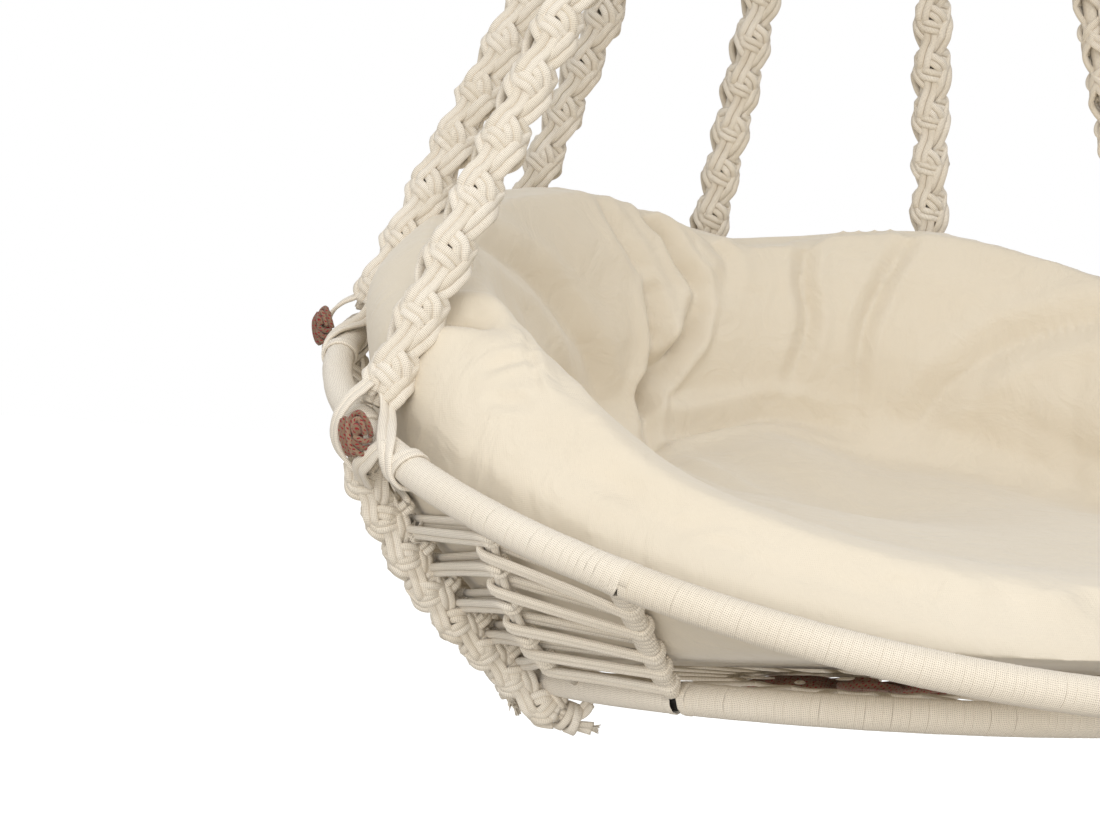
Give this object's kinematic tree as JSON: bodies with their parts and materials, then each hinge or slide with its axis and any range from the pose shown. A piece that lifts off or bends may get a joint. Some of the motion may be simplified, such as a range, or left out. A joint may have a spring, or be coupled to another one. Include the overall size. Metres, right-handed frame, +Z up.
{
  "type": "hammock chair",
  "caption": "Hanging chair of knotted flat cord on two wrapped steel rings, with rope legs drawn up to a steel hanging ring and a thick bucket cushion.",
  "frame": {"origin": "inside top of the hanging ring, where the hook's bar bears", "axes": "+Z up; -Y towards the open front, where a person sits down; +X to the sitter's left, which is the viewer's right from the front"},
  "size_m": [0.8146, 0.7737, 1.3144],
  "materials": {
    "ring_steel": "satin",
    "dark_tube": "satin",
    "flat_cord": "matte",
    "core_cord": "matte",
    "cotton": "matte"
  },
  "bodies": {
    "hanging_ring": {"hanging_ring": "ring_steel"},
    "chair": {"rope_eye": "flat_cord", "neck_whipping": "flat_cord", "upper_ring_tube": "dark_tube", "upper_ring_wrap_front": "flat_cord", "upper_ring_wrap_back": "flat_cord", "seat_ring_tube": "dark_tube", "seat_ring_wrap_front": "flat_cord", "seat_ring_wrap_back": "flat_cord", "hang_braid_1": "flat_cord", "hang_braid_2": "flat_cord", "hang_braid_3": "flat_cord", "hang_braid_4": "flat_cord", "hang_braid_5": "flat_cord", "hang_braid_6": "flat_cord", "hang_braid_7": "flat_cord", "ring_lashing_1": "flat_cord", "ring_lashing_2": "flat_cord", "ring_lashing_3": "flat_cord", "ring_lashing_4": "flat_cord", "ring_lashing_5": "flat_cord", "ring_lashing_6": "flat_cord", "ring_lashing_7": "flat_cord", "core_knot_1": "core_cord", "core_knot_2": "core_cord", "core_knot_3": "core_cord", "core_knot_4": "core_cord", "core_knot_5": "core_cord", "core_knot_6": "core_cord", "core_knot_7": "core_cord", "side_braid_1": "flat_cord", "side_braid_2": "flat_cord", "side_braid_3": "flat_cord", "side_braid_4": "flat_cord", "side_braid_5": "flat_cord", "side_braid_6": "flat_cord", "side_braid_7": "flat_cord", "net_column_1": "flat_cord", "net_column_2": "flat_cord", "net_column_3": "flat_cord", "net_column_4": "flat_cord", "net_column_5": "flat_cord", "net_column_6": "flat_cord", "net_column_7": "flat_cord", "net_column_8": "flat_cord", "net_column_9": "flat_cord", "net_column_10": "flat_cord", "net_row_1": "flat_cord", "net_row_2": "flat_cord", "net_row_3": "flat_cord", "net_row_4": "flat_cord", "net_row_5": "flat_cord", "seat_net": "flat_cord", "seat_flower": "core_cord", "cushion": "cotton"}
  },
  "joints": [
    {"name": "swing", "type": "hinge", "parent": "hanging_ring", "child": "chair", "pos_m": [0, 0, -0.064], "axis": [1, 0, 0], "range_deg": [-20, 20]}
  ]
}
